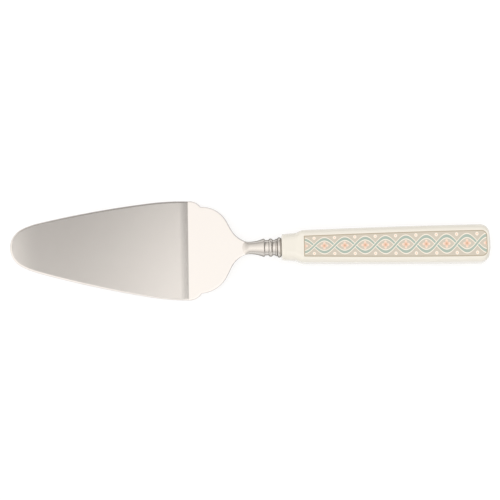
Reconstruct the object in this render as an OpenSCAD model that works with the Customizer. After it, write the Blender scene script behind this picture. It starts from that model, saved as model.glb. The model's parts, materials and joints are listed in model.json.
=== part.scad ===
// Cake server: a bent sheet-steel lifter, a ringed steel bolster and a glazed porcelain handle.
// Lengths are millimetres, angles degrees. The blade is drawn flat with its heel on the Y axis,
// and at_rest() sets the whole server down as it lies on a table: on its heel and on the lower
// edge of the handle's end, with the tip of the blade in the air.

/* [Blade] */
// Length of the blade from its tip to the heel
blade_len = 94; // [80:1:110]
// Width of the blade across the heel
heel_w = 52.8; // [48:0.2:58]
// Thickness of the steel sheet
sheet_t = 1.4; // [1:0.1:2]
// Radius of the rounded tip
nose_r = 11; // [9:0.5:13]
// Angle of the outline to the long axis where the tip turns into the cheek
nose_slope = 28; // [24:1:36]
// Radius of the cheek behind the tip
cheek_r = 38; // [24:1:44]
// Radius of the long bowed side
side_r = 550; // [400:10:700]
// Radius of the side where it nears the heel
heel_side_r = 140; // [110:5:180]

/* [Riser] */
// Angle between the blade and the riser
heel_angle = 28; // [24:1:34]
// Length of the riser from the heel to the crest, along its slope
riser_len = 24.1; // [22:0.1:28]
// Inside radius of the heel bend
heel_bend_r = 0.8; // [0.4:0.1:3]
// Radius of the bend at the crest, in the middle of the sheet
crest_bend_r = 22; // [12:1:30]
// Straight stretch of the side before and behind the heel
heel_land = 0.5; // [0.2:0.1:2]
// Radius of the round corner at each end of the heel
corner_r = 8; // [6:0.5:10]
// Step in from the ends of the heel to the shoulders
shoulder_step = 3.4; // [2:0.1:5]
// Radius of the shoulders
shoulder_r = 16.2; // [14:0.1:18]
// Distance of the shoulders' widest point behind the heel
shoulder_back = 6.8; // [5:0.1:9]
// Angle of the flank behind each shoulder to the long axis
flank_angle = 62; // [54:1:70]
// Radius of the sweep from the flank into the tongue
sweep_r = 14; // [10:0.5:16]
// Width of the tongue that the neck holds
tongue_w = 5.2; // [4:0.2:5.6]

/* [Neck] */
// Angle between the blade and the line of the handle
handle_angle = 13.2; // [12:0.1:14]
// Distance of the fan's front edge behind the crest bend
fan_back = 0.2; // [0.1:0.1:1]
// Waist of the neck behind the crest
waist_at = 9; // [8:0.2:10]
// Diameter of the waist
waist_d = 6.5; // [6.2:0.1:7.4]
// Radius of the fan's edges, seen from above
fan_r = 12; // [9:0.5:20]
// Thickness of the fan's front edge on each face of the sheet
fan_lip = 0.25; // [0.15:0.05:0.4]
// Length of the thin fan in front of the brow
fan_len = 1.8; // [1:0.1:2.4]
// Length of the brow, where the round stem rises from the fan
brow_len = 3.1; // [2.4:0.1:4]
// Back of the neck behind the crest
neck_back = 17; // [16:0.1:19]
// Radius of the rounded rim at the neck's back
neck_rim_r = 0.7; // [0.4:0.05:1]
// Metal between the tongue and the tang
neck_web = 1.2; // [0.8:0.1:2]

/* [Ferrule] */
// Length of the ferrule
ferrule_len = 8.6; // [7.6:0.1:11]
// Diameter in the grooves
groove_d = 8.1; // [7.6:0.1:9]
// Height of the bead above the grooves
bead_rise = 0.7; // [0.4:0.1:1]
// Radius of the bead's rounding
bead_r = 1.2; // [1:0.1:1.8]
// Middle of the bead, from the front of the ferrule
bead_at = 3; // [2:0.1:4]
// Height of the flange against the handle, above the grooves
flange_rise = 1.25; // [1:0.05:1.8]
// Width of the flange, which is also the diameter of its rounded rim
flange_w = 2.2; // [1.4:0.1:2.6]
// Radius of the half-round ring in front of the flange
ring_r = 0.55; // [0.3:0.05:0.8]
// Middle of that ring, from the front of the ferrule
ring_at = 5.9; // [5.6:0.1:6.2]

/* [Tang] */
// Diameter of the tang
tang_d = 4.5; // [3.5:0.1:5]
// Depth of the tang in the neck
tang_seat = 5; // [4:0.1:5.4]
// Room between the end of the tang and the bottom of the bore
tang_room = 10; // [5:1:20]
// Width of a grip groove
grip_w = 1.6; // [1:0.1:3]
// Depth of a grip groove
grip_depth = 0.45; // [0.2:0.05:0.7]
// Number of grip grooves
grip_count = 5; // [2:1:8]
// Chamfer at the end of the tang
tang_chamfer = 0.8; // [0.3:0.1:1.2]

/* [Handle] */
// Length of the handle
handle_len = 109.5; // [95:0.5:125]
// Width of the collar at its front
collar_w = 13.5; // [13:0.1:14.2]
// Width of the collar at its back
collar_back_w = 14.4; // [14:0.1:15.5]
// Thickness of the collar
collar_t = 12.2; // [11.6:0.1:12.8]
// Length of the collar
collar_len = 7; // [5:0.1:8]
// Length of the flare between collar and body
flare_len = 4.3; // [3:0.1:6]
// Rounding of the collar's front edge
collar_round = 1.2; // [0.6:0.1:1.6]
// Rounding of the collar's long edges
collar_edge_r = 4.4; // [3.5:0.1:5]
// Width of the body at its front
body_w = 17; // [16:0.1:19]
// Width of the body at its end
body_end_w = 19.8; // [18:0.1:22]
// Thickness of the body
body_t = 13; // [12.4:0.1:15]
// Rounding of the body's long edges
body_edge_r = 3.4; // [2.6:0.1:4]
// Rounding of the end's corners, seen from above
end_r = 4.5; // [3:0.1:5]
// Rounding of the end's upper and lower edge
end_edge_r = 0.8; // [0.4:0.1:1.5]
// Rise of the domed end
end_crown = 0.85; // [0.4:0.05:1.5]
// Diameter of the bore
bore_d = 7.5; // [6.5:0.1:8]
// Solid length between the bottom of the bore and the end
solid_end = 27.5; // [20:0.5:40]

/* [Panel] */
// Distance of the printed panel's front edge behind the flare
panel_lead = 0.4; // [0:0.1:4]
// Distance of the panel from the edges of the flat top
panel_inset = 0.1; // [0.1:0.1:2]
// Rounding of the panel's corners at the end of the handle
panel_corner_r = 3; // [1:0.1:4]
// Thickness of the print under the glaze
panel_t = 0.3; // [0.2:0.05:0.5]

/* [Hidden] */
$fn = 96;
// Facets round the neck, round one edge of the handle and along the curves of both
neck_fn = 40;
edge_steps = 7;
curve_steps = 9;
// Gap of brazed, cemented and printed faces
fit_gap = 0.05;
// Reach of a cut past the face that it opens
overrun = 1;
// Turn of the handle's end rounding, in degrees, before the dome takes over
end_turn = 72;
// Size of the flat left in the middle of the dome, as a share of the dome
dome_flat_share = 0.1;

function unit(v) = v / norm(v);
function heading(a) = [cos(a), sin(a)];
function angle(v) = atan2(v.y, v.x);
function ease(u) = u * u * (3 - 2 * u);
function blend(a, b, u) = a + (b - a) * u;
function steps(n) = [for (i = [0:n]) i / n];
function tail(list) = [for (i = [1:len(list) - 1]) list[i]];
function backwards(list) = [for (i = [len(list) - 1:-1:0]) list[i]];
function other_side(points) = [for (p = backwards(points)) [p.x, -p.y]];
function arc(c, r, from, to) = [for (u = steps(curve_steps)) c + r * heading(blend(from, to, u))];

// Point at distances a and b from the points p and q, on the right of the line from p to q
function meeting_point(p, a, q, b) =
    let (d = norm(q - p), u = unit(q - p), along = (a * a - b * b + d * d) / (2 * d))
    p + along * u + sqrt(a * a - along * along) * [u.y, -u.x];

// Outline of the blade on the flat sheet, with the headings where one arc passes into the next
heel_half = heel_w / 2;
nose_c = [nose_r - blade_len, 0];
nose_turn = 90 + nose_slope;
cheek_c = nose_c + (nose_r - cheek_r) * heading(nose_turn);
heel_side_c = [-heel_land, heel_half - heel_side_r];
side_c = meeting_point(cheek_c, side_r - cheek_r, heel_side_c, side_r - heel_side_r);
cheek_turn = angle(cheek_c - side_c);
side_turn = angle(heel_side_c - side_c);

// Outline of the riser on the flat sheet, from the heel on
corner_c = [heel_land, heel_half - corner_r];
shoulder_c = [shoulder_back, heel_half - shoulder_step - shoulder_r];
notch = meeting_point(shoulder_c, shoulder_r, corner_c, corner_r);
flank_turn = 90 - flank_angle;
flank_from = shoulder_c + shoulder_r * heading(flank_turn);
sweep_y = tongue_w / 2 + sweep_r;
sweep_x = flank_from.x + (sweep_r - (sweep_y - flank_from.y) * sin(flank_turn)) / cos(flank_turn);
sweep_c = [sweep_x, sweep_y];

// Side view of the sheet: the straight middle lines meet at the heel and at the crest
heel_mid_r = heel_bend_r + sheet_t / 2;
heel_out_r = heel_bend_r + sheet_t;
heel_run = heel_mid_r * tan(heel_angle / 2);
crest_run = crest_bend_r * tan((heel_angle - handle_angle) / 2);
heel_p = [0, sheet_t / 2];
heel_bend_c = heel_p + [-heel_run, heel_mid_r];
crest_p = heel_p + riser_len * heading(heel_angle);
crest_bend_c = crest_p - crest_run * heading(heel_angle) + crest_bend_r * heading(heel_angle - 90);

// Places along the line of the handle, counted from the crest
neck_front = crest_run + fan_back;
tang_from = neck_back - tang_seat;
tongue_len = tang_from - neck_web;
handle_from = neck_back + ferrule_len;

// Brow, waist, trumpet and rounded rim of the neck
brow_from = neck_front + fan_len;
waist_r = waist_d / 2;
rim_c = [neck_back - neck_rim_r, groove_d / 2];
rim_off = rim_c - [waist_at, waist_r];
trumpet_r = (rim_off * rim_off - neck_rim_r * neck_rim_r) / (2 * (neck_rim_r + rim_off.y));
trumpet_turn = asin(rim_off.x / (trumpet_r + neck_rim_r));

// Bead and flange of the ferrule
bead_c_r = groove_d / 2 + bead_rise - bead_r;
flange_c_r = groove_d / 2 + flange_rise - flange_w / 2;

// Handle, counted from its front
body_from = collar_len + flare_len;
end_from = handle_len - end_crown - end_r;
end_edge_from = handle_len - end_crown - end_edge_r;
dome_from = end_edge_from + end_edge_r * sin(end_turn);
bore_depth = handle_len - solid_end;
panel_from = body_from + panel_lead;
panel_to = end_edge_from - panel_inset;

// Tang, counted from its front
tang_reach = bore_depth - tang_room;
tang_len = tang_seat + ferrule_len + tang_reach;
grip_pitch = tang_reach / (grip_count + 1);

// Bends of the side view at the radius of one face of the sheet
function heel_bend(r) = arc(heel_bend_c, r, -90, heel_angle - 90);
function crest_bend(r) = arc(crest_bend_c, r, heel_angle + 90, handle_angle + 90);

// One side of the flat sheet's outline: round tip, cheek, bowed side, round corner at the heel, a
// step in to the shoulder, straight flank, and a sweep into the tongue, both grown by an amount
function sheet_side(grow) = concat(
    arc(nose_c, nose_r, 180, nose_turn),
    tail(arc(cheek_c, cheek_r, nose_turn, cheek_turn)),
    tail(arc(side_c, side_r, cheek_turn, side_turn)),
    tail(arc(heel_side_c, heel_side_r, side_turn, 90)),
    arc(corner_c, corner_r, 90, angle(notch - corner_c)),
    tail(arc(shoulder_c, shoulder_r, angle(notch - shoulder_c), flank_turn)),
    arc(sweep_c, sweep_r - grow, 180 + flank_turn, 270),
    [[sweep_c.x + tongue_len, tongue_w / 2 + grow]]);

// Point of the side view, s along the line of the handle and n above it
function on_side_view(s, n) = crest_p + s * heading(handle_angle) + n * heading(handle_angle + 90);

// Point of the side view once the server lies on the table, before it is centred
function tilted(p) = [p * heading(rest_tilt), p * heading(rest_tilt + 90)];

// The table touches the heel bend and what comes down first of the flange, the front of the
// body and the rounded lower edge of the handle's end, given as centres and radii
function touch_angle(c, r) =
    let (span = c - heel_bend_c)
    atan2(span.y, span.x) + asin((heel_out_r - r) / norm(span));
flange_touch = touch_angle(on_side_view(handle_from - flange_w / 2, -flange_c_r), flange_w / 2);
body_touch = touch_angle(on_side_view(handle_from + body_from, -body_t / 2), 0);
end_touch = touch_angle(on_side_view(handle_from + end_edge_from, end_edge_r - body_t / 2), end_edge_r);
rest_tilt = min(flange_touch, body_touch, end_touch);
table_z = tilted(heel_bend_c).y - heel_out_r;
tip_skew = [-tan(heel_angle / 2), 1] * sheet_t / 2;
tip_x = min(tilted([-blade_len, 0] + heel_p - tip_skew).x, tilted([-blade_len, 0] + heel_p + tip_skew).x);
end_x = tilted(on_side_view(handle_from + handle_len, 0)).x;

// Ring of the neck across the line of the handle
function oval_ring(s, half_w, half_t) =
    [for (i = [0:neck_fn - 1]) let (p = heading(360 * i / neck_fn)) [s, half_w * p.x, half_t * p.y]];

// Ring of the handle across its line: a rectangle with rounded corners
function bar_ring(s, half_w, half_t, r) =
    [for (corner = [[1, 1], [-1, 1], [-1, -1], [1, -1]], u = steps(edge_steps))
        let (q = atan2(corner.y, corner.x) - 45 + 90 * u)
        [s, corner.x * (half_w - r) + r * cos(q), corner.y * (half_t - r) + r * sin(q)]];

// Half width of the body, which widens fast at first and then hardly
function body_half(s) =
    blend(body_w, body_end_w, sin(90 * (s - body_from) / (handle_len - body_from))) / 2;

// How far a rounding of radius r has drawn the end in at s
function end_inset(s, r) =
    let (d = max(0, s - (handle_len - end_crown - r)))
    r - sqrt(r * r - d * d);

// Ring of the handle's end, drawn in by both roundings and shrunk towards its middle
function end_ring(s, at, shrink) =
    bar_ring(at, shrink * (body_half(s) - end_inset(s, end_r)),
        shrink * (body_t / 2 - end_inset(s, end_edge_r)), shrink * body_edge_r);

module at_rest() {
    translate([-(tip_x + end_x) / 2, 0, -table_z])
        rotate([0, rest_tilt, 0])
            children();
}

// X along the line of the handle from a place on it, Z square to the sheet there
module on_handle_line(from) {
    translate([crest_p.x, 0, crest_p.y])
        rotate([0, -handle_angle, 0])
            translate([from, 0, 0])
                children();
}

// Lays a shape that was turned about Z along X
module lie_down() {
    rotate([0, 90, 0])
        children();
}

// Solid skinned over rings that all have the same number of points
module skin(rings) {
    n = len(rings[0]);
    last = (len(rings) - 1) * n;
    walls = [for (i = [0:n:last - n], j = [0:n - 1]) let (k = (j + 1) % n)
        each [[i + j, i + n + k, i + k], [i + j, i + n + j, i + n + k]]];
    front = [for (j = [0:n - 1]) j];
    back = [for (j = [n - 1:-1:0]) last + j];
    polyhedron([for (ring = rings) each ring], concat([front], walls, [back]));
}

// Side view of the bent sheet: its underside and, back again, its upper face
module sheet_side_view() {
    under = concat([[-blade_len - overrun, 0]], heel_bend(heel_out_r),
        crest_bend(crest_bend_r - sheet_t / 2), [on_side_view(tongue_len, -sheet_t / 2)]);
    upper = concat([[-blade_len - overrun, sheet_t]], heel_bend(heel_bend_r),
        crest_bend(crest_bend_r + sheet_t / 2), [on_side_view(tongue_len, sheet_t / 2)]);
    polygon(concat(under, backwards(upper)));
}

// Stands a side view up across the server
module across() {
    rotate([90, 0, 0])
        linear_extrude(height = 2 * heel_w, center = true)
            children();
}

// Prism that trims the bent sheet to its outline. It stands square to the plane midway between
// blade and riser, where both look shorter by the same share.
module sheet_prism(grow) {
    half_angle = heel_angle / 2;
    side = [for (p = sheet_side(grow)) [p.x * cos(half_angle), p.y]];
    translate([heel_p.x, 0, heel_p.y])
        rotate([0, -half_angle, 0])
            linear_extrude(height = 2 * blade_len, center = true)
                polygon(concat(side, other_side(tail(side))));
}

module blade() {
    color("gainsboro")
        at_rest()
            intersection() {
                across()
                    sheet_side_view();
                sheet_prism(0);
            }
}

// Slot in the neck for the tongue, open at the front
module tongue_slot() {
    slot_t = sheet_t + 2 * fit_gap;
    intersection() {
        on_handle_line(neck_front - overrun)
            translate([0, -heel_half, -slot_t / 2])
                cube([tongue_len + fit_gap + overrun - neck_front, heel_w, slot_t]);
        sheet_prism(fit_gap);
    }
}

// Fan on both faces of the riser, brow, round waist, trumpet and rim, bored for the tang
module neck() {
    fan = [for (u = steps(2 * curve_steps))
        let (s = blend(neck_front, waist_at, u), risen = min(1, max(0, (s - brow_from) / brow_len)))
        oval_ring(s, waist_r + fan_r - sqrt(fan_r * fan_r - (waist_at - s) * (waist_at - s)),
            blend(sheet_t / 2 + fan_lip, waist_r, ease(risen)))];
    trumpet = [for (u = steps(curve_steps)) let (p = trumpet_r * heading(trumpet_turn * u - 90))
        oval_ring(waist_at + p.x, waist_r + trumpet_r + p.y, waist_r + trumpet_r + p.y)];
    rim = [for (u = steps(curve_steps))
        let (p = rim_c + neck_rim_r * heading(blend(trumpet_turn + 90, 0, u))) oval_ring(p.x, p.y, p.y)];
    color("silver")
        at_rest()
            difference() {
                on_handle_line(0)
                    skin(concat(fan, tail(trumpet), tail(rim)));
                tongue_slot();
                on_handle_line(tang_from - fit_gap)
                    lie_down()
                        cylinder(d = tang_d + 2 * fit_gap, h = tang_seat + fit_gap + overrun);
            }
}

// Turned collar: a groove, a bead, a second groove, a ring and the flange against the handle
module ferrule() {
    color("silver")
        at_rest()
            on_handle_line(neck_back)
                lie_down()
                    difference() {
                        rotate_extrude()
                            intersection() {
                                union() {
                                    square([groove_d / 2, ferrule_len]);
                                    translate([bead_c_r, bead_at])
                                        circle(bead_r);
                                    translate([groove_d / 2, ring_at])
                                        circle(ring_r);
                                    translate([0, ferrule_len - flange_w])
                                        square([flange_c_r, flange_w]);
                                    translate([flange_c_r, ferrule_len - flange_w / 2])
                                        circle(d = flange_w);
                                }
                                square([groove_d, ferrule_len]);
                            }
                        translate([0, 0, -overrun])
                            cylinder(d = tang_d + 2 * fit_gap, h = ferrule_len + 2 * overrun);
                    }
}

// Rod with grip grooves, grown all over by the given amount
module tang_rod(grow) {
    r = tang_d / 2 + grow;
    difference() {
        union() {
            translate([0, 0, -grow])
                cylinder(r = r, h = tang_len - tang_chamfer + 2 * grow);
            translate([0, 0, tang_len - tang_chamfer + grow])
                cylinder(r1 = r, r2 = r - tang_chamfer, h = tang_chamfer);
        }
        for (i = [1:grip_count])
            translate([0, 0, tang_seat + ferrule_len + i * grip_pitch - grip_w / 2 + grow])
                rotate_extrude()
                    translate([r - grip_depth, 0])
                        square([grip_depth + overrun, grip_w - 2 * grow]);
    }
}

module tang() {
    color("darkgray")
        at_rest()
            on_handle_line(tang_from)
                lie_down()
                    tang_rod(0);
}

// Round-bottomed hole in the handle, grown all over by the given amount, from a depth on
module bore(grow, from) {
    r = bore_d / 2;
    translate([0, 0, from])
        cylinder(r = r + grow, h = bore_depth - r - from);
    translate([0, 0, bore_depth - r])
        sphere(r + grow);
}

module cement() {
    color("lightgray")
        at_rest()
            on_handle_line(handle_from)
                lie_down()
                    difference() {
                        bore(-fit_gap, fit_gap);
                        translate([0, 0, tang_from - handle_from])
                            tang_rod(fit_gap);
                    }
}

// Outline of the panel: square at the front, rounded at the end of the handle
module panel_outline(grow) {
    turn_at = panel_to + grow - panel_corner_r;
    side = [for (u = steps(curve_steps)) let (s = blend(panel_from - grow, turn_at, u))
        [s, body_half(s) - body_edge_r - panel_inset + grow]];
    corner = [for (u = steps(edge_steps))
        side[curve_steps] + panel_corner_r * (heading(90 - 90 * u) - [0, 1])];
    edge = concat(side, tail(corner));
    polygon(concat(edge, other_side(edge)));
}

// Cast bar: collar, flare, widening body and domed end, bored for the tang
module handle() {
    collar = [for (u = steps(edge_steps)) let (p = collar_round * ([1, 1] - heading(90 * u)))
        bar_ring(p.x, collar_w / 2 - p.y, collar_t / 2 - p.y, collar_edge_r - p.y)];
    flare = [for (u = steps(curve_steps)) let (e = ease(u))
        bar_ring(collar_len + flare_len * u, blend(collar_back_w, body_w, e) / 2,
            blend(collar_t, body_t, e) / 2, blend(collar_edge_r, body_edge_r, e))];
    body = [for (u = steps(curve_steps)) let (s = blend(body_from, end_from, u))
        bar_ring(s, body_half(s), body_t / 2, body_edge_r)];
    corners = [for (u = steps(edge_steps))
        let (s = end_from + end_r * sin(asin(1 - end_edge_r / end_r) * u)) end_ring(s, s, 1)];
    edge = [for (u = steps(edge_steps))
        let (s = end_edge_from + end_edge_r * sin(end_turn * u)) end_ring(s, s, 1)];
    dome = [for (u = steps(edge_steps)) let (f = blend(1, dome_flat_share, u))
        end_ring(dome_from, blend(handle_len, dome_from, f * f), f)];
    color("ivory")
        at_rest()
            on_handle_line(handle_from)
                difference() {
                    skin(concat(collar, flare, tail(body), tail(corners), tail(edge), tail(dome)));
                    lie_down()
                        bore(0, -overrun);
                    translate([0, 0, body_t / 2 - panel_t])
                        linear_extrude(height = panel_t + overrun)
                            panel_outline(0);
                }
}

module printed_panel() {
    color("tan")
        at_rest()
            on_handle_line(handle_from)
                translate([0, 0, body_t / 2 - panel_t])
                    linear_extrude(height = panel_t)
                        panel_outline(-fit_gap);
}

blade();
neck();
ferrule();
tang();
cement();
handle();
printed_panel();
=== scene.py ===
import json
from math import acos, asin, copysign, cos, hypot, pi, radians, sin, sqrt

import bmesh
import bpy
from mathutils import Matrix, Vector


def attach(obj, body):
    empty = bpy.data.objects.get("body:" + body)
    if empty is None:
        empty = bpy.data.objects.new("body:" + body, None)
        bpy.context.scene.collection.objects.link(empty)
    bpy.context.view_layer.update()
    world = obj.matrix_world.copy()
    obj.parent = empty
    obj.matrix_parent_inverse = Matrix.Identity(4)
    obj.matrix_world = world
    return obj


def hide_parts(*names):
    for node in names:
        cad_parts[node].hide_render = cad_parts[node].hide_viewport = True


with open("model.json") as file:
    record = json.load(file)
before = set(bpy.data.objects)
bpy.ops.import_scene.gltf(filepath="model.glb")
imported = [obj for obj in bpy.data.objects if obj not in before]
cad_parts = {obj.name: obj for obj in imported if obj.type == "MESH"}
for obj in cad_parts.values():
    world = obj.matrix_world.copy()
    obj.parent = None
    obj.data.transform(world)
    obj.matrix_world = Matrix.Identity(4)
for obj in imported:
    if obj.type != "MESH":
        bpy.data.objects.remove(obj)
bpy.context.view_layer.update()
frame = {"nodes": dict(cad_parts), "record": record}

# Blade: one stamping of stainless sheet with a round tip, bent up at the heel into a riser with
# scalloped shoulders, bent back at the crest and drawn in to a tongue. Its edges are rounded over
# and both faces are polished. All pieces are drawn in millimetres and then set in their place.
SHEET_T = 1.4
EDGE_ROUND = 0.2
BLADE_LEN = 93.83
NOSE_R = 11
NOSE_SLOPE = radians(28)
CHEEK_R = 38
CHEEK_SLOPE = radians(14.608)
SIDE_R = 550
SIDE_SLOPE = radians(8.317)
HEEL_SIDE_R = 140
HEEL_LAND = 0.85
CORNER_R = 8
CORNER_TURN = radians(54.917)
SHOULDER_R = 16.2
SHOULDER_SLOPE = radians(0.872)
FLANK_SLOPE = radians(62)
SWEEP_R = 14
TONGUE_HALF_W = 2.6
TIP_CURVE_FROM = -78
TIP_LIFT = 0.33
TIP_CUTS = 13
HEEL_LEAD_AT = -2.5
HEEL_LEAD_LEN = 4.2
HEEL_LEAD_TURN = radians(2.4)
HEEL_BEND_AT = 0.1
HEEL_BEND_LEN = 0.5
HEEL_TURN = radians(28)
RISER_LEN = 24.1
CREST_BEND_LEN = 5.7
CREST_TURN = radians(14.8)
HEEL = Vector((-33.465, 0, 0.654))
MM = Matrix.Scale(0.001, 4)
mounts = {mount["name"]: mount for mount in frame["record"]["mounts"]}


def straight(bm, tip, heading, run):
    """Draws a line on from the tip of an outline and returns the new tip."""
    tip = bmesh.ops.extrude_vert_indiv(bm, verts=[tip])["verts"][0]
    bmesh.ops.translate(bm, verts=[tip], vec=(run * cos(heading), run * sin(heading), 0))
    return tip


def curve(bm, tip, heading, radius, turn, steps):
    """Draws an arc on from the tip, to the left for a positive turn, and returns the new tip."""
    reach = copysign(radius, turn)
    centre = tip.co + Vector((-reach * sin(heading), reach * cos(heading), 0))
    drawn = bmesh.ops.spin(bm, geom=[tip], cent=centre, axis=(0, 0, 1), angle=turn, steps=steps)
    return next(part for part in drawn["geom_last"] if isinstance(part, bmesh.types.BMVert))


def bisect(bm, x):
    """Cuts the sheet's faces along a line across it."""
    bmesh.ops.bisect_plane(bm, geom=bm.verts[:] + bm.edges[:] + bm.faces[:],
                           plane_co=(x, 0, 0), plane_no=(1, 0, 0))


def fold(bm, at, length, turn, steps):
    """Bends the sheet beyond a line across it, upwards for a positive turn, spread over a length."""
    lines = [at + length * (i / steps - 0.5) for i in range(steps + 1)]
    for x in lines:
        bisect(bm, x)
    for x in reversed(lines):
        bmesh.ops.rotate(bm, verts=[v for v in bm.verts if v.co.x > x - 1e-4], cent=(x, 0, 0),
                         matrix=Matrix.Rotation(-turn / (steps + 1), 3, "Y"))


def along(axis, start):
    """Place of a piece whose Z axis is the given one and whose X axis runs towards the handle."""
    up = Vector(axis)
    ahead = Vector((0, 1, 0)).cross(up)
    return Matrix.Translation(start) @ Matrix((ahead, (0, 1, 0), up)).transposed().to_4x4()


def finished(bm, name, place, node, slot, *materials):
    """Makes the object of a drawn piece in its place, in the stead of its CAD node."""
    bm.transform(MM @ place)
    mesh = bpy.data.meshes.new(name)
    bm.to_mesh(mesh)
    bm.free()
    mesh.shade_smooth()
    for material in materials:
        mesh.materials.append(material)
    obj = bpy.data.objects.new(name, mesh)
    bpy.context.collection.objects.link(obj)
    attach(obj, "root")
    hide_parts(node)
    return obj


def linear(code):
    """Linear colour of an sRGB hex code."""
    parts = [int(code[i:i + 2], 16) / 255 for i in (1, 3, 5)]
    return [c / 12.92 if c <= 0.04045 else ((c + 0.055) / 1.055) ** 2.4 for c in parts] + [1]


def add(tree, kind, *inputs, **settings):
    """Adds a node with its settings, and fills or links its shown inputs in order, None for as is."""
    node = tree.nodes.new("ShaderNode" + kind)
    for name, value in settings.items():
        setattr(node, name, value)
    for socket, value in zip([s for s in node.inputs if s.enabled], inputs):
        if isinstance(value, bpy.types.Node):
            value = next(s for s in value.outputs if s.enabled)
        if isinstance(value, bpy.types.NodeSocket):
            tree.links.new(value, socket)
        elif value is not None:
            socket.default_value = value
    return node


def surface(name, **constants):
    """A new material, its node tree and its shader with the sockets that are the same all over."""
    material = bpy.data.materials.new(name)
    material.use_nodes = True
    shader = material.node_tree.nodes["Principled BSDF"]
    for socket, value in constants.items():
        shader.inputs[socket.replace("_", " ")].default_value = value
    return material, material.node_tree, shader


# Stainless steel, buffed along its length: a clear but soft mirror, with faint lines of the wheel
# half a millimetre apart, coarser than real ones so that they show, and 40 mm waves of the sheet.
polished_steel, tree, shader = surface("polished_stainless_steel", Metallic=1.0)
shader.inputs["Base Color"].default_value = linear("#dcd9d6")
where = add(tree, "TexCoord").outputs["Object"]
lines = add(tree, "TexNoise", add(tree, "Mapping", where, None, None, (60, 2000, 60)), None, 1.0, 2.0)
waves = add(tree, "TexNoise", where, None, 25.0, 1.0)
rough = add(tree, "MapRange", lines, 0.3, 0.7, 0.1, 0.16)
tree.links.new(rough.outputs[0], shader.inputs["Roughness"])
fine = add(tree, "Bump", 0.02, 0.0002, None, lines)
wavy = add(tree, "Bump", 0.02, 0.001, None, waves, fine)
tree.links.new(wavy.outputs[0], shader.inputs["Normal"])

# One side of the outline, from the tip to the tongue, is drawn with arcs and mirrored
bm = bmesh.new()
tip = bm.verts.new((-BLADE_LEN, 0, 0))
heading = pi / 2
for radius, slope, steps in (
        (NOSE_R, NOSE_SLOPE, 20),
        (CHEEK_R, CHEEK_SLOPE, 8),
        (SIDE_R, SIDE_SLOPE, 20),
        (HEEL_SIDE_R, 0, 10)):
    tip = curve(bm, tip, heading, radius, slope - heading, steps)
    heading = slope
tip = straight(bm, tip, 0, HEEL_LAND)
tip = curve(bm, tip, 0, CORNER_R, -CORNER_TURN, 12)
tip = curve(bm, tip, -SHOULDER_SLOPE, SHOULDER_R, SHOULDER_SLOPE - FLANK_SLOPE, 20)
flank_drop = tip.co.y - TONGUE_HALF_W - SWEEP_R * (1 - cos(FLANK_SLOPE))
tip = straight(bm, tip, -FLANK_SLOPE, flank_drop / sin(FLANK_SLOPE))
tip = curve(bm, tip, -FLANK_SLOPE, SWEEP_R, FLANK_SLOPE, 16)
straight(bm, tip, -pi / 2, tip.co.y)
bmesh.ops.mirror(bm, geom=bm.verts[:] + bm.edges[:], axis="Y", merge_dist=1e-3)
bmesh.ops.remove_doubles(bm, verts=bm.verts[:], dist=1e-3)
bmesh.ops.edgeloop_fill(bm, edges=bm.edges[:])
inner = bm.faces[:][0]
if inner.normal.z < 0:
    bmesh.ops.reverse_faces(bm, faces=[inner])
# The sheet thins out towards its edge: share of the thickness after each step inwards
shares = bm.verts.layers.deform.new("thickness")
for inwards, share in ((0, 0.55), (0.2, 0.87), (0.35, 0.965), (0.45, 1)):
    if inwards:
        bmesh.ops.inset_region(bm, faces=[inner], thickness=inwards, use_boundary=True,
                               use_even_offset=True)
    for v in inner.verts:
        v[shares][0] = share
# The tip curves up, and the whole blade leans down by as much, so that the tip keeps its height
curved_len = BLADE_LEN + TIP_CURVE_FROM
for i in range(TIP_CUTS):
    bisect(bm, TIP_CURVE_FROM - curved_len * i / TIP_CUTS)
for v in bm.verts:
    rise = (max(0, TIP_CURVE_FROM - v.co.x) / curved_len) ** 2
    drop = max(0, -v.co.x / BLADE_LEN)
    v.co.z += TIP_LIFT * (rise - drop)
# The crest is bent in a long curve, and the heel in a sharp one with a slight lead before it
fold(bm, RISER_LEN, CREST_BEND_LEN, -CREST_TURN, 14)
fold(bm, HEEL_BEND_AT, HEEL_BEND_LEN, HEEL_TURN - HEEL_LEAD_TURN, 6)
fold(bm, HEEL_LEAD_AT, HEEL_LEAD_LEN, HEEL_LEAD_TURN, 9)
blade_line = along(mounts["serving_face"]["axis"], HEEL)
blade = finished(bm, "polished_blade", blade_line, "blade", "polished_steel", polished_steel)
sheet = blade.modifiers.new("sheet", "SOLIDIFY")
sheet.thickness = SHEET_T * 0.001
sheet.offset = 0
sheet.use_even_offset = True
sheet.vertex_group = blade.vertex_groups.new(name="thickness").name
rounding = blade.modifiers.new("rounded_edge", "BEVEL")
rounding.width = EDGE_ROUND * 0.001
rounding.segments = 3
rounding.limit_method = "ANGLE"
rounding.angle_limit = radians(45)
blade.modifiers.new("flat_faces", "WEIGHTED_NORMAL").keep_sharp = True

# Neck: the round stem that the tongue is brazed into, of forged, turned and filed stainless steel.
# Its front spreads into a thin fan on both faces of the riser, its back flares to a rounded rim.
WAIST_AT = 9
WAIST_R = 3.25
FAN_FROM = 3.06
FAN_R = 8.6
BROW_FROM = 4.6
BROW_TO = 10.2
BROW_LOW = 0.69
RIM_AT = 16.3
RIM_MID_R = 4.05
RIM_ROUND = 0.7
RING_SIDES = 64
crest = blade_line @ Vector((RISER_LEN * cos(HEEL_TURN), 0, RISER_LEN * sin(HEEL_TURN)))
handle_line = along(-Vector(mounts["handle_underside"]["axis"]), crest)


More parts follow.
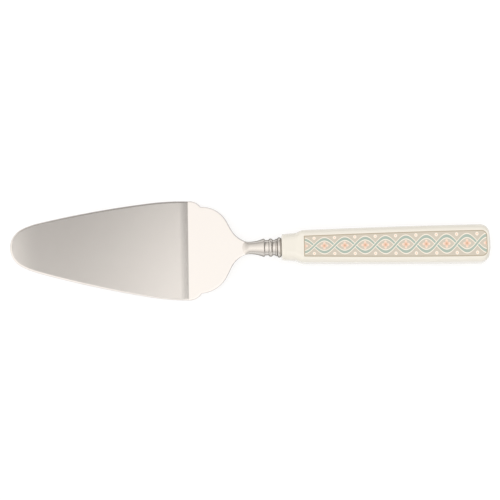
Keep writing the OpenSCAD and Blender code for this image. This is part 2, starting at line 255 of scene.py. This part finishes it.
def ring(bm, s, half_w, half_t, edge_r=None):
    """Draws a ring across the line of the handle, an oval or a rectangle with rounded corners."""
    size = (half_t, half_w) if edge_r is None else (edge_r, edge_r)
    turned = Matrix.Translation((s, 0, 0)) @ Matrix.Rotation(pi / 2, 4, "Y")
    spread = Matrix.Diagonal((*size, 1, 1)) @ Matrix.Rotation(pi / RING_SIDES, 4, "Z")
    verts = bmesh.ops.create_circle(bm, segments=RING_SIDES, radius=1, matrix=turned @ spread)["verts"]
    if edge_r is not None:
        for v in verts:
            v.co.y += copysign(half_w - edge_r, v.co.y)
            v.co.z += copysign(half_t - edge_r, v.co.z)
    return list(dict.fromkeys(e for v in verts for e in v.link_edges))


def loft(bm, rings):
    """Bridges each ring to the next and closes both ends."""
    for a, b in zip(rings, rings[1:]):
        bmesh.ops.bridge_loops(bm, edges=a + b)
    bmesh.ops.edgeloop_fill(bm, edges=rings[0])
    bmesh.ops.edgeloop_fill(bm, edges=rings[-1])
    bmesh.ops.recalc_face_normals(bm, faces=bm.faces[:])


def ease(u):
    """Share of the way from 0 to 1 that starts and ends gently."""
    return u * u * (3 - 2 * u)


def stem_half(s, r):
    """Half thickness of the neck, whose brow rises from the sheet to the full round of a radius."""
    share = min(1, max(0, (s - BROW_FROM) / (BROW_TO - BROW_FROM)))
    return BROW_LOW + (r - BROW_LOW) * ease(share)


# Stainless steel, turned on a lathe and buffed: a mirror much like the blade's, a little greyer and
# darker at its edges, with faint rings 0.4 mm apart, coarser than real ones so that they show.
turned_steel, tree, shader = surface("turned_stainless_steel", Metallic=1.0)
shader.inputs["Base Color"].default_value = linear("#cfcbc6")
shader.inputs["Specular Tint"].default_value = linear("#4e4a45")
where = add(tree, "TexCoord").outputs["Object"]
marks = add(tree, "TexNoise", add(tree, "Mapping", where, None, None, (2500, 60, 60)), None, 1.0, 2.0)
rough = add(tree, "MapRange", marks, 0.3, 0.7, 0.1, 0.17)
tree.links.new(rough.outputs[0], shader.inputs["Roughness"])
tree.links.new(add(tree, "Bump", 0.05, 0.0002, None, marks).outputs[0], shader.inputs["Normal"])

# Rings of the fan and waist, of the trumpet that runs on smoothly into the rim, and of the rim
rim_off = Vector((RIM_AT - WAIST_AT, RIM_MID_R - WAIST_R))
trumpet_r = (rim_off.length_squared - RIM_ROUND ** 2) / (2 * (RIM_ROUND + rim_off.y))
trumpet_turn = asin(rim_off.x / (trumpet_r + RIM_ROUND))
bm = bmesh.new()
rings = []
for i in range(25):
    s = FAN_FROM + (WAIST_AT - FAN_FROM) * i / 24
    half_w = WAIST_R + FAN_R - sqrt(FAN_R ** 2 - (WAIST_AT - s) ** 2)
    rings.append(ring(bm, s, half_w, stem_half(s, WAIST_R)))
for i in range(1, 13):
    turn = trumpet_turn * i / 12
    s = WAIST_AT + trumpet_r * sin(turn)
    r = WAIST_R + trumpet_r * (1 - cos(turn))
    rings.append(ring(bm, s, r, stem_half(s, r)))
for i in range(1, 11):
    turn = (pi / 2 + trumpet_turn) * (1 - i / 10)
    r = RIM_MID_R + RIM_ROUND * sin(turn)
    rings.append(ring(bm, RIM_AT + RIM_ROUND * cos(turn), r, r))
loft(bm, rings)
finished(bm, "forged_neck", handle_line, "neck", "turned_steel", turned_steel)

# Ferrule: the ring collar between neck and handle, turned from stainless steel in one piece with
# a bead between two hollow grooves, a small ring and a flange that covers the mouth of the handle.
FERRULE_FROM = 17
BORE_R = 2.3
GROOVE_R = 4.05
GROOVE_TURN = radians(8)
BEAD_AT = 3
BEAD_ROUND = 1.2
BEAD_RISE = 0.7
RING_AT = 5.9
RING_ROUND = 0.55
FLANGE_AT = 7.5
FLANGE_ROUND = 1.1
FLANGE_MID_R = 4.2


def groove(bm, tip, run):
    """Draws a hollow on from the tip of a turned outline, which dips and comes back up."""
    return curve(bm, tip, -GROOVE_TURN, run / (2 * sin(GROOVE_TURN)), 2 * GROOVE_TURN, 8)


def between(a, b, c):
    """Angle between the sides a and b of a triangle whose third side is c."""
    return acos((a ** 2 + b ** 2 - c ** 2) / (2 * a * b))


# The bead stands on the grooves, and the rounds of ring and flange end where they meet
bm = bmesh.new()
tip = bm.verts.new((FERRULE_FROM, BORE_R, 0))
tip = straight(bm, tip, pi / 2, GROOVE_R - BORE_R)
bead_turn = acos(1 - BEAD_RISE / BEAD_ROUND)
bead_half = BEAD_ROUND * sin(bead_turn)
tip = groove(bm, tip, BEAD_AT - bead_half)
tip = curve(bm, tip, bead_turn, BEAD_ROUND, -2 * bead_turn, 14)
tip = groove(bm, tip, RING_AT - RING_ROUND - BEAD_AT - bead_half)
span = hypot(FLANGE_AT - RING_AT, FLANGE_MID_R - GROOVE_R)
lean = asin((FLANGE_MID_R - GROOVE_R) / span)
ring_to = lean + between(RING_ROUND, span, FLANGE_ROUND)
flange_from = lean + pi - between(FLANGE_ROUND, span, RING_ROUND)
tip = curve(bm, tip, pi / 2, RING_ROUND, ring_to - pi, 10)
tip = curve(bm, tip, flange_from - pi / 2, FLANGE_ROUND, -flange_from, 16)
straight(bm, tip, -pi / 2, tip.co.y - BORE_R)
bmesh.ops.spin(bm, geom=bm.verts[:] + bm.edges[:], axis=(1, 0, 0), angle=2 * pi, steps=72, use_merge=True)
bmesh.ops.recalc_face_normals(bm, faces=bm.faces[:])
ferrule = finished(bm, "ringed_ferrule", handle_line, "ferrule", "turned_steel", turned_steel)
ferrule.data.set_sharp_from_angle(angle=radians(40))

# Tang: the plain steel rod that holds blade and handle together, brazed into the neck and cemented
# into the handle. It is hidden and keeps its CAD shape, with the dull grey of drawn bar and the
# streaks of the die, a third of a millimetre apart.
plain_steel, tree, shader = surface("drawn_steel_bar", Metallic=1.0)
where = add(tree, "TexCoord").outputs["Object"]
drawn = add(tree, "TexNoise", add(tree, "Mapping", where, None, None, (80, 3000, 3000)), None, 1.0, 3.0)
grey = add(tree, "Mix", drawn, linear("#8e8c89"), linear("#a5a3a0"), data_type="RGBA")
tree.links.new(grey.outputs[2], shader.inputs["Base Color"])
tree.links.new(add(tree, "MapRange", drawn, 0.3, 0.7, 0.3, 0.45).outputs[0], shader.inputs["Roughness"])
tang = frame["nodes"]["tang"]
tang.data.materials.clear()
tang.data.materials.append(plain_steel)

# Cement: the plaster that fills the handle's bore round the tang. It is hidden and keeps its CAD
# shape; set plaster is matt and chalky, with pores about a millimetre apart.
plaster, tree, shader = surface("set_plaster", Roughness=0.9)
where = add(tree, "TexCoord").outputs["Object"]
pores = add(tree, "TexNoise", where, None, 900.0, 4.0)
chalk = add(tree, "Mix", pores, linear("#cfc9bd"), linear("#e6e1d6"), data_type="RGBA")
tree.links.new(chalk.outputs[2], shader.inputs["Base Color"])
tree.links.new(add(tree, "Bump", 0.4, 0.0003, None, pores).outputs[0], shader.inputs["Normal"])
cement = frame["nodes"]["cement"]
cement.data.materials.clear()
cement.data.materials.append(plaster)

# Handle: one slip-cast and glazed piece of cream porcelain, a collar that flares into a slowly
# widening bar with soft edges, and a slightly domed end. It is cemented to the tang.
HANDLE_FROM = 25.6
HANDLE_LEN = 109.5
COLLAR_LEN = 7
COLLAR_HALF_W = 6.75
COLLAR_BACK_HALF_W = 7.2
COLLAR_HALF_T = 6.1
COLLAR_ROUND = 1.2
COLLAR_EDGE_R = 4.4
BODY_FROM = 11.3
BODY_HALF_W = 8.5
BODY_END_HALF_W = 9.9
BODY_HALF_T = 6.5
BODY_EDGE_R = 3.4
END_R = 4.5
END_EDGE_R = 0.8
END_EDGE_TURN = radians(72)
END_CROWN = 0.85


def body_half(s):
    """Half width of the handle's body at a place counted from the handle's front."""
    share = sin(pi / 2 * (s - BODY_FROM) / (HANDLE_LEN - BODY_FROM))
    return BODY_HALF_W + (BODY_END_HALF_W - BODY_HALF_W) * share


def end_inset(s, r):
    """How far a rounding of the end has drawn its side in."""
    past = max(0, s - (HANDLE_LEN - END_CROWN - r))
    return r - sqrt(max(0, r * r - past * past))


def end_ring(bm, at, s, shrink):
    """Draws a ring of the end at one place, in the size that the end has at another, shrunk."""
    return ring(bm, at, shrink * (body_half(s) - end_inset(s, END_R)),
                shrink * (BODY_HALF_T - end_inset(s, END_EDGE_R)), shrink * BODY_EDGE_R)


# Cream porcelain under a clear glaze: an even, warm white with a wet shine, hardly seen clouds of
# colour 17 mm wide and the slow ripple, 6 mm wide, that a glaze keeps from melting.
GLAZE = {"IOR": 1.52, "Coat_Weight": 0.6, "Coat_Roughness": 0.04}
porcelain, tree, shader = surface("glazed_porcelain", **GLAZE)
where = add(tree, "TexCoord").outputs["Object"]
cloud = add(tree, "TexNoise", where, None, 60.0, 3.0)
cream = add(tree, "Mix", cloud, linear("#ebe8de"), linear("#efece2"), data_type="RGBA")
tree.links.new(cream.outputs[2], shader.inputs["Base Color"])
tree.links.new(add(tree, "MapRange", cloud, 0.3, 0.7, 0.16, 0.24).outputs[0], shader.inputs["Roughness"])
ripple = add(tree, "TexNoise", where, None, 160.0, 1.0)
tree.links.new(add(tree, "Bump", 0.03, 0.0005, None, ripple).outputs[0], shader.inputs["Normal"])

# Rings of the collar's rounded mouth, of the flare, of the bar, and of its rounded and domed end
bm = bmesh.new()
rings = []
for i in range(9):
    turn = pi / 2 * i / 8
    inset = COLLAR_ROUND * (1 - sin(turn))
    rings.append(ring(bm, COLLAR_ROUND * (1 - cos(turn)), COLLAR_HALF_W - inset, COLLAR_HALF_T - inset,
                      COLLAR_EDGE_R - inset))
for i in range(13):
    share = ease(i / 12)
    rings.append(ring(bm, COLLAR_LEN + (BODY_FROM - COLLAR_LEN) * i / 12,
                      COLLAR_BACK_HALF_W + (BODY_HALF_W - COLLAR_BACK_HALF_W) * share,
                      COLLAR_HALF_T + (BODY_HALF_T - COLLAR_HALF_T) * share,
                      COLLAR_EDGE_R + (BODY_EDGE_R - COLLAR_EDGE_R) * share))
end_from = HANDLE_LEN - END_CROWN - END_R
for i in range(1, 13):
    s = BODY_FROM + (end_from - BODY_FROM) * i / 12
    rings.append(ring(bm, s, body_half(s), BODY_HALF_T, BODY_EDGE_R))
end_turn = asin(1 - END_EDGE_R / END_R)
edge_from = HANDLE_LEN - END_CROWN - END_EDGE_R
places = [end_from + END_R * sin(end_turn * i / 8) for i in range(1, 9)]
places += [edge_from + END_EDGE_R * sin(END_EDGE_TURN * i / 8) for i in range(1, 9)]
for s in places:
    rings.append(end_ring(bm, s, s, 1))
dome_from = places[-1]
for i in range(1, 10):
    shrink = 1 - 0.1 * i
    rings.append(end_ring(bm, HANDLE_LEN + (dome_from - HANDLE_LEN) * shrink ** 2, dome_from, shrink))
loft(bm, rings)
bmesh.ops.translate(bm, verts=bm.verts[:], vec=(HANDLE_FROM, 0, 0))
handle = finished(bm, "porcelain_handle", handle_line, "handle", "porcelain", porcelain)
handle.modifiers.new("flat_faces", "WEIGHTED_NORMAL")

# Printed panel: a transfer print fired on the flat top of the handle, square at its front and
# rounded at the end, with a thin taupe border round a woven band of sage green and small rosettes.
# It was laid on by hand, half a millimetre to one side.
PANEL_FROM = 11.7
PANEL_TO = 107.3
PANEL_MARGIN = 3.05
PANEL_ASIDE = -0.5
PANEL_CORNER_R = 3
PANEL_STAND = 0.02
PANEL_T = 0.3
BORDER_W = 0.45
bm = bmesh.new()
uv = bm.loops.layers.uv.new("print")
bmesh.ops.create_grid(bm, x_segments=24, y_segments=2, size=0.5)
for v in bm.verts:
    s = PANEL_FROM + (PANEL_TO - PANEL_FROM) * (v.co.x + 0.5)
    v.co = (s, PANEL_ASIDE + 2 * v.co.y * (body_half(s) - PANEL_MARGIN), BODY_HALF_T + PANEL_STAND)
ends = [v for v in bm.verts if v.co.x > PANEL_TO - 1e-3 and abs(v.co.y) > 1]
bmesh.ops.bevel(bm, geom=ends, offset=PANEL_CORNER_R, segments=8, profile=0.5, affect="VERTICES",
                material=-1)
border = bmesh.ops.inset_region(bm, faces=bm.faces[:], thickness=BORDER_W, use_boundary=True,
                                use_even_offset=True)["faces"]
for face in border:
    face.material_index = 1
for face in bm.faces:
    for loop in face.loops:
        s, y = loop.vert.co.xy
        loop[uv].uv = ((s - PANEL_FROM) / (PANEL_TO - PANEL_FROM),
                       0.5 + 0.5 * (y - PANEL_ASIDE) / (body_half(s) - PANEL_MARGIN))
bmesh.ops.solidify(bm, geom=bm.faces[:], thickness=PANEL_T)
bmesh.ops.recalc_face_normals(bm, faces=bm.faces[:])
bmesh.ops.translate(bm, verts=bm.verts[:], vec=(HANDLE_FROM, 0, 0))

# Transfer print under the glaze: grey beige ground, bands and flowers in thin washes of colour that
# vary every 2 mm, all with the same wet shine as the porcelain. Each shape has its full colour up to
# the first size of its fade and none from the second on.
PRINT_HALF_W = 5.9
PRINT_ROUGH = 0.2
CELLS = 9
BAND_SWING = 3.5
BAND_FADE = (0.6, 0.8)
BAND_EDGE_FADE = (1.05, 1.25)
PETAL_R = 2.0
PETAL_WAIST_R = 0.8
PETAL_FADE = (-0.15, 0.1)
FLOWER_EYE_FADE = (0.45, 0.6)
BEAD_ROW = 4.25
BEAD_FADE = (0.75, 0.95)
BEAD_EYE_FADE = (0.25, 0.4)


def painted(tree, under, paint, far, fade):
    """Lays a paint over a colour where a distance is within its fade."""
    cover = add(tree, "MapRange", far, *fade, 1.0, 0.0)
    return add(tree, "Mix", cover, under, paint, data_type="RGBA")


printed, tree, shader = surface("printed_glaze", Roughness=PRINT_ROUGH, **GLAZE)
place = add(tree, "SeparateXYZ", add(tree, "UVMap", uv_map="print"))
across = add(tree, "MapRange", place.outputs[1], 0.0, 1.0, -PRINT_HALF_W, PRINT_HALF_W)
count = add(tree, "Math", place.outputs[0], CELLS, operation="MULTIPLY")
share = add(tree, "Math", count, operation="FRACT")
swing = add(tree, "Math", add(tree, "Math", share, pi, operation="MULTIPLY"), operation="COSINE")
wash = add(tree, "TexNoise", add(tree, "TexCoord").outputs["Object"], None, 500.0, 2.0)
colour = add(tree, "Mix", wash, linear("#c8bfb0"), linear("#d3ccbd"), data_type="RGBA")
sage = add(tree, "Mix", wash, linear("#98aca1"), linear("#b1c1b5"), data_type="RGBA")
# The band that rises towards the handle's end lies over the one that falls, each with cream edges
for reach in (BAND_SWING, -BAND_SWING):
    middle = add(tree, "Math", swing, reach, operation="MULTIPLY")
    off = add(tree, "Math", add(tree, "Math", across, middle, operation="SUBTRACT"), operation="ABSOLUTE")
    colour = painted(tree, colour, linear("#fbf2e5"), off, BAND_EDGE_FADE)
    colour = painted(tree, colour, sage, off, BAND_FADE)
# A rosette of four petals, paler outwards, sits in each eye of the weave, between two cells
cell_mm = (PANEL_TO - PANEL_FROM) / CELLS
shifted = add(tree, "Math", add(tree, "Math", count, 0.5, operation="ADD"), operation="FRACT")
shifted = add(tree, "Math", shifted, 0.5, operation="SUBTRACT")
eye = add(tree, "Math", shifted, cell_mm, operation="MULTIPLY")
far = add(tree, "VectorMath", add(tree, "CombineXYZ", eye, across), operation="LENGTH").outputs["Value"]
twice = add(tree, "Math", add(tree, "Math", across, eye, operation="ARCTAN2"), 2.0, operation="MULTIPLY")
petal = add(tree, "Math", add(tree, "Math", twice, operation="COSINE"), operation="ABSOLUTE")
reach = add(tree, "MapRange", petal, 0.0, 1.0, PETAL_WAIST_R, PETAL_R)
outwards = add(tree, "MapRange", far, 0.3, 1.9, 0.0, 1.0)
peach = add(tree, "Mix", outwards, linear("#e7b89d"), linear("#f9e6d5"), data_type="RGBA")
colour = painted(tree, colour, peach, add(tree, "Math", far, reach, operation="SUBTRACT"), PETAL_FADE)
colour = painted(tree, colour, linear("#d5ac8c"), far, FLOWER_EYE_FADE)
# A cream bead with a peach eye lies on both sides of each crossing
beside = add(tree, "Math", share, 0.5, operation="SUBTRACT")
beside = add(tree, "Math", beside, cell_mm, operation="MULTIPLY")
row = add(tree, "Math", add(tree, "Math", across, operation="ABSOLUTE"), BEAD_ROW, operation="SUBTRACT")
bead = add(tree, "VectorMath", add(tree, "CombineXYZ", beside, row), operation="LENGTH").outputs["Value"]
colour = painted(tree, colour, linear("#fbf2e5"), bead, BEAD_FADE)
colour = painted(tree, colour, linear("#f1c9ac"), bead, BEAD_EYE_FADE)
tree.links.new(colour.outputs[2], shader.inputs["Base Color"])

# Border line of the print, a taupe that is thinner in places, a millimetre or two apart
border_line, tree, shader = surface("printed_border", Roughness=PRINT_ROUGH, **GLAZE)
thin = add(tree, "TexNoise", add(tree, "TexCoord").outputs["Object"], None, 700.0, 2.0)
taupe = add(tree, "Mix", thin, linear("#a1937b"), linear("#b6aa91"), data_type="RGBA")
tree.links.new(taupe.outputs[2], shader.inputs["Base Color"])
panel = finished(bm, "printed_face", handle_line, "printed_panel", "printed_glaze", printed, border_line)
panel.data.set_sharp_from_angle(angle=radians(40))

# Studio: a pale floor that is white to the camera and keeps a soft shadow, three low soft boxes that
# light the handle's sides, and for the steel a room that is bright above and to the left, darker
# low down and on the right, with one bright card high on the right.
FLOOR_SIZE = 6
FLOOR_DROP = 0.0002
FLOOR_GLOW = 0.7
CARD_TOWARDS = (0.48, 0.085, 0.873)
MATT_SHARE = 0.87
SOFT_BOX_SIZE = 1.5
SOFT_BOX_W = 4.4
bpy.ops.mesh.primitive_plane_add(size=FLOOR_SIZE, location=(0, 0, -FLOOR_DROP))
floor = bpy.context.object
floor.name = "studio_floor"
white_paper, tree, shader = surface("white_paper", Roughness=0.9)
shader.inputs["Base Color"].default_value = linear("#a4a4a4")
seen = add(tree, "LightPath")
shown = add(tree, "Math", seen.outputs["Is Camera Ray"], seen.outputs["Is Glossy Ray"], operation="MAXIMUM")
shown = add(tree, "Math", shown, seen.outputs["Is Transmission Ray"], operation="MAXIMUM")
glow = add(tree, "Math", shown, FLOOR_GLOW, operation="MULTIPLY")
shader.inputs["Emission Color"].default_value = (1, 1, 1, 1)
tree.links.new(glow.outputs[0], shader.inputs["Emission Strength"])
floor.data.materials.append(white_paper)

world = bpy.data.worlds.new("studio")
bpy.context.scene.world = world
world.use_nodes = True
tree = world.node_tree
toward = add(tree, "TexCoord").outputs["Generated"]
look = add(tree, "SeparateXYZ", toward)
# The bright left, which ends in a slanting edge, is brightest along the server and a little in front
slant = add(tree, "Math", look.outputs[1], 0.3, look.outputs[0], operation="MULTIPLY_ADD")
left = add(tree, "MapRange", slant, 0.38, 0.295)
aside = add(tree, "Math", add(tree, "Math", look.outputs[1], 0.25, operation="ADD"), operation="ABSOLUTE")
strip = add(tree, "MapRange", aside, 0.0, 1.2, 1.25, 0.6)
# The right has a little light at its back, and the whole room an even dim light with the card in it
back = add(tree, "MapRange", look.outputs[1], 0.25, 0.5, 0.0, 0.25)
sides = add(tree, "Mix", left, back, strip)
off = add(tree, "VectorMath", toward, CARD_TOWARDS, operation="DISTANCE").outputs["Value"]
card = add(tree, "MapRange", off, 0.19, 0.06, 0.34, 1.5, interpolation_type="SMOOTHSTEP")
low = add(tree, "MapRange", look.outputs[2], 0.0, 0.6, 0.6, 1.0)
glow = add(tree, "Math", add(tree, "Math", sides, card, operation="ADD"), low, operation="MULTIPLY")
# Matt surfaces get a little less of the room, so that their colours come out as they are written
seen = add(tree, "LightPath")
matt = add(tree, "MapRange", seen.outputs["Is Diffuse Ray"], 0.0, 1.0, 1.0, MATT_SHARE)
glow = add(tree, "Math", glow, matt, operation="MULTIPLY")
room = tree.nodes["Background"]
room.inputs["Color"].default_value = linear("#fffbf7")
tree.links.new(glow.outputs[0], room.inputs["Strength"])

for name, place in (
        ("front_soft_box", (-0.1, -1.4, 0.35)),
        ("back_soft_box", (0.1, 1.4, 0.35)),
        ("right_soft_box", (1.4, 0, 0.35))):
    soft_box = bpy.data.objects.new(name, bpy.data.lights.new(name, "AREA"))
    soft_box.data.size = SOFT_BOX_SIZE
    soft_box.data.energy = SOFT_BOX_W
    soft_box.location = place
    soft_box.rotation_euler = (-soft_box.location).to_track_quat("-Z", "Y").to_euler()
    soft_box.visible_camera = False
    soft_box.visible_glossy = False
    bpy.context.collection.objects.link(soft_box)

# Camera: nearly overhead, a metre away and turned by a degree, as the photograph was taken. Its lens
# takes in the photograph's width, at the number of pixels that a metre of the server has there.
AIM = Vector((-0.0010, -0.0008, 0.005))
TURN = radians(1.05)
RISE = radians(81.3)
FAR = 1.0
PHOTO_W = 500
PIXELS_PER_M = 1905
SENSOR_W = 36
ahead = Vector((sin(TURN) * cos(RISE), cos(TURN) * cos(RISE), -sin(RISE)))
camera = bpy.data.objects.new("camera", bpy.data.cameras.new("camera"))
camera.data.sensor_width = SENSOR_W
camera.data.lens = SENSOR_W * FAR * PIXELS_PER_M / PHOTO_W
camera.location = AIM - ahead * FAR
camera.rotation_euler = ahead.to_track_quat("-Z", "Y").to_euler()
bpy.context.collection.objects.link(camera)
bpy.context.scene.camera = camera
bpy.context.scene.view_settings.view_transform = "Standard"
